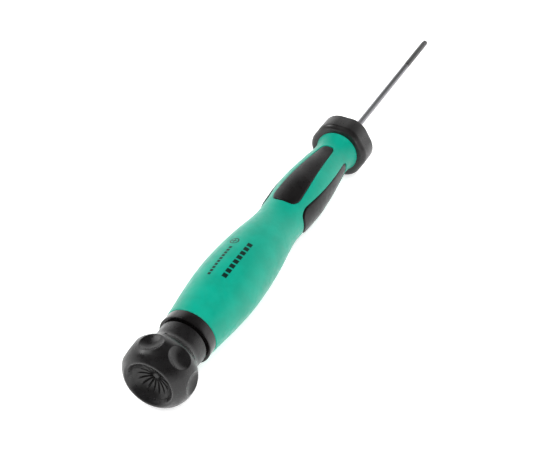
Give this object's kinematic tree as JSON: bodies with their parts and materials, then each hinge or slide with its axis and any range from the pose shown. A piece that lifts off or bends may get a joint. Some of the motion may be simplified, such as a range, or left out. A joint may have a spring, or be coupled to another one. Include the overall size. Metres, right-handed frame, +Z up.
{
  "type": "watchmaker screwdriver",
  "caption": "Slim cross-point screwdriver with a waisted two-colour grip, a six-sided anti-roll collar and a dimpled cap that turns freely under a fingertip.",
  "frame": {"origin": "on the tool's axis, where the blade leaves the nose of the handle", "axes": "+X along the blade towards its tip, +Z up and square to one flat of the hex collar, +Y to the left seen from the cap"},
  "size_m": [0.1444, 0.0151, 0.0153],
  "materials": {
    "blade_steel": "satin ground steel, the last 14 mm black oxide",
    "core_plastic": "moulded black",
    "green_plastic": "satin teal green, fine moulded texture",
    "grip_rubber": "satin black rubber",
    "collar_rubber": "matte black rubber, soft edges",
    "bush_plastic": "glossy black",
    "pin_steel": "turned steel",
    "washer_nylon": "moulded nylon",
    "cap_rubber": "satin black rubber with a soft sheen",
    "hub_plastic": "moulded bearing plastic",
    "disc_plastic": "satin black, fine rays"
  },
  "bodies": {
    "handle": {"blade": "blade_steel", "handle_core": "core_plastic", "green_sleeve": "green_plastic", "grip_inlay_top": "grip_rubber", "grip_inlay_left": "grip_rubber", "grip_inlay_bottom": "grip_rubber", "grip_inlay_right": "grip_rubber", "hex_collar": "collar_rubber", "rear_bush": "bush_plastic", "swivel_pin": "pin_steel", "thrust_washer": "washer_nylon"},
    "cap": {"cap_grip": "cap_rubber", "cap_hub": "hub_plastic", "head_washer": "pin_steel", "end_disc": "disc_plastic"}
  },
  "joints": [
    {"name": "cap_spin", "type": "hinge", "parent": "handle", "child": "cap", "pos_m": [-0.085, 0, 0], "axis": [1, 0, 0], "continuous": true}
  ]
}
